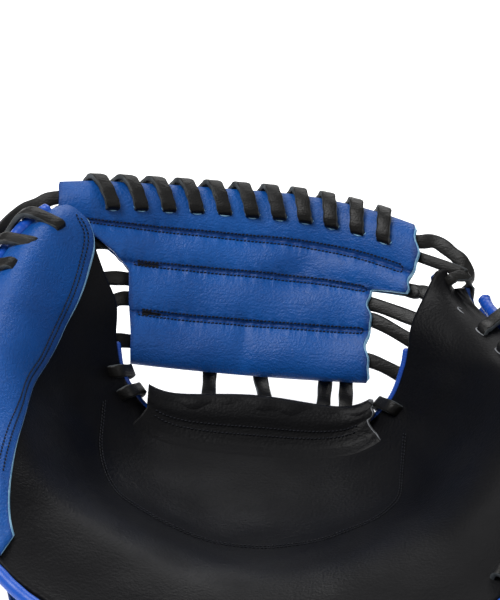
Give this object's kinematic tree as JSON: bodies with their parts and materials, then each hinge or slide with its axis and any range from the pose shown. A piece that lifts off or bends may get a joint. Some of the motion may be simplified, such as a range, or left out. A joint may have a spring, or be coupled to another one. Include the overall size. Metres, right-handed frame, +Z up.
{
  "type": "catcher mitt",
  "caption": "Padded leather catching mitt for the left hand, lying on its back, with a deep round pocket, a laced tunnel web and a strap across the wrist opening.",
  "frame": {"origin": "middle of the flat patch of the back shell that the mitt rests on", "axes": "+X towards the little finger, +Y towards the web, +Z up out of the pocket"},
  "size_m": [0.2828, 0.2755, 0.1261],
  "materials": {
    "blue_leather": "smooth royal blue leather with a soft sheen",
    "black_leather": "grained black leather",
    "blue_piping": "rolled blue piping",
    "lace_leather": "waxed black rawhide lace with raw edges"
  },
  "bodies": {
    "root": {"thumb_panel": "blue_leather", "back_shell": "blue_leather", "web_panel": "blue_leather", "palm_welt": "blue_piping", "back_welt_thumb": "blue_piping", "back_welt_fingers": "blue_piping", "notch_cord_thumb": "blue_piping", "notch_cord_fingers": "blue_piping", "padded_palm": "black_leather", "crotch_roll": "black_leather", "wrist_strap": "black_leather", "rim_lace_thumb": "lace_leather", "rim_lace_fingers": "lace_leather", "notch_tie_thumb": "lace_leather", "notch_tie_fingers": "lace_leather", "web_top_lace": "lace_leather", "web_lace_1": "lace_leather", "web_lace_2": "lace_leather", "web_lace_3": "lace_leather", "web_lace_4": "lace_leather", "web_lace_5": "lace_leather", "tip_lace_thumb": "lace_leather", "tip_lace_fingers": "lace_leather", "crotch_lace_1": "lace_leather", "crotch_lace_2": "lace_leather", "crotch_lace_3": "lace_leather", "crotch_lace_4": "lace_leather"}
  },
  "joints": []
}
